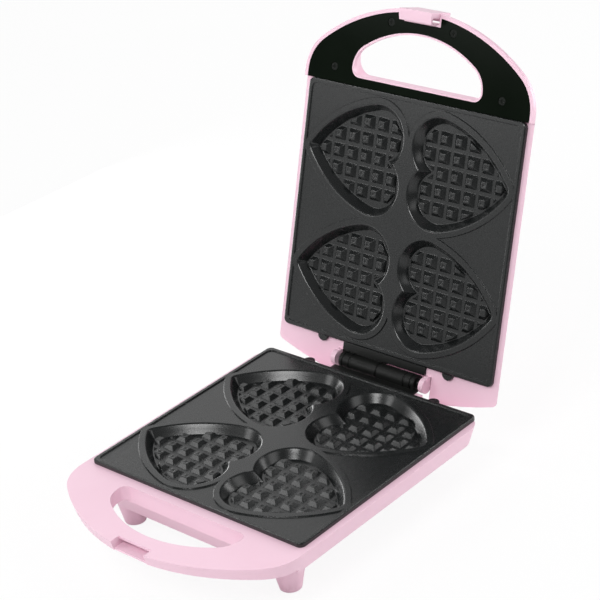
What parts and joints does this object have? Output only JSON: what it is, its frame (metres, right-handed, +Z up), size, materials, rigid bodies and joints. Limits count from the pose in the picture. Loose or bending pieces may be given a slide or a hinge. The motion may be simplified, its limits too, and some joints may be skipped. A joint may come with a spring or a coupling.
{
  "type": "waffle maker",
  "caption": "Hinged waffle maker with heart moulds, open arched handles on both halves, a rear hinge and a front latch.",
  "frame": {"origin": "centre of the open appliance's outline on the table it stands on", "axes": "+Z up from the table; +X along the hinge axis; +Y from the handles to the hinge"},
  "size_m": [0.215, 0.3752, 0.3212],
  "materials": {
    "pink_plastic": "satin moulded",
    "nonstick_coating": "satin sprayed coating on cast metal",
    "black_gloss_plastic": "glossy moulded",
    "black_steel": "black oxide",
    "steel": "plain zinc",
    "element_steel": "heat tinted",
    "aluminised_sheet": "rolled",
    "black_rubber": "matte",
    "red_lens": "clear red",
    "green_lens": "clear green",
    "circuit_board": "satin",
    "white_ceramic": "glazed",
    "thermostat_can": "plain",
    "fuse_sleeve": "woven sleeve"
  },
  "bodies": {
    "base": {"lower_housing": "pink_plastic", "foot_pads": "black_rubber", "hinge_pin": "black_steel", "cord_gland": "black_rubber", "terminal_block": "white_ceramic", "lower_plate": "nonstick_coating", "lower_heating_element": "element_steel", "lower_element_clamps": "steel", "lower_heat_shield": "aluminised_sheet", "lower_shield_screws": "steel", "lower_thermostat": "thermostat_can", "lower_thermal_fuse": "fuse_sleeve", "lower_hinge_leaf": "black_steel", "lower_hinge_screws": "steel"},
    "lid": {"upper_housing": "pink_plastic", "handle_cover": "black_gloss_plastic", "handle_cover_screws": "steel", "latch_pin": "steel", "power_light_lens": "red_lens", "ready_light_lens": "green_lens", "indicator_board": "circuit_board", "upper_plate": "nonstick_coating", "upper_heating_element": "element_steel", "upper_element_clamps": "steel", "upper_heat_shield": "aluminised_sheet", "upper_shield_screws": "steel", "upper_thermostat": "thermostat_can", "upper_thermal_fuse": "fuse_sleeve", "upper_hinge_leaf": "black_steel", "upper_hinge_screws": "steel"},
    "latch": {"latch": "pink_plastic"}
  },
  "joints": [
    {"name": "lid_hinge", "type": "hinge", "parent": "base", "child": "lid", "pos_m": [0, 0.09076, 0.0519], "axis": [1, 0, 0], "range_deg": [0, 107.5]},
    {"name": "latch_pivot", "type": "hinge", "parent": "lid", "child": "latch", "pos_m": [0, 0.18079, 0.31249], "axis": [1, 0, 0], "range_deg": [0, 8]}
  ]
}
